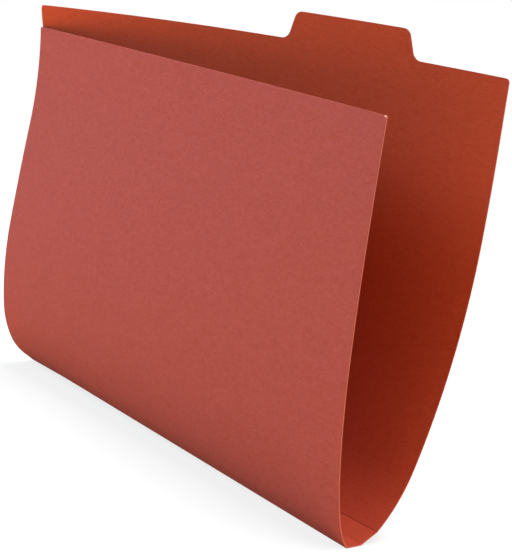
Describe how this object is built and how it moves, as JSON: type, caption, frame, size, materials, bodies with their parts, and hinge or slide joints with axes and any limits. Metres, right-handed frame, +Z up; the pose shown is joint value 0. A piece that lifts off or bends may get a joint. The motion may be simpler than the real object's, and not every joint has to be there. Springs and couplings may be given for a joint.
{
  "type": "file folder",
  "caption": "Card file folder with a raised index tab, standing half open on its scored, expanding base.",
  "frame": {"origin": "on the table, below the middle of the standing folder's bounding box", "axes": "+X along the scores from the far end to the near end, +Y from the front leaf to the back leaf, +Z up from the table"},
  "size_m": [0.2984, 0.0794, 0.2415],
  "materials": {
    "card_outside": "matte",
    "card_inside": "matte",
    "card_score": "matte"
  },
  "bodies": {
    "base": {"front_base_strip": "card_inside", "middle_score": "card_score", "front_score": "card_score"},
    "rear_base": {"rear_base_strip": "card_inside", "rear_score": "card_score"},
    "back": {"back_leaf": "card_inside"},
    "front": {"front_leaf": "card_outside"}
  },
  "joints": [
    {"name": "middle_fold", "type": "hinge", "parent": "base", "child": "rear_base", "pos_m": [0, -0.00684, 0.00025], "axis": [-1, 0, 0], "range_deg": [0, 28]},
    {"name": "rear_fold", "type": "hinge", "parent": "rear_base", "child": "back", "pos_m": [0, 0.0037, 0.00288], "axis": [-0.9998, 0.0044, -0.0176], "range_deg": [0, 64]},
    {"name": "front_fold", "type": "hinge", "parent": "base", "child": "front", "pos_m": [0, -0.01553, 0.00291], "axis": [0.9998, -0.0054, -0.0178], "range_deg": [0, 48]}
  ]
}
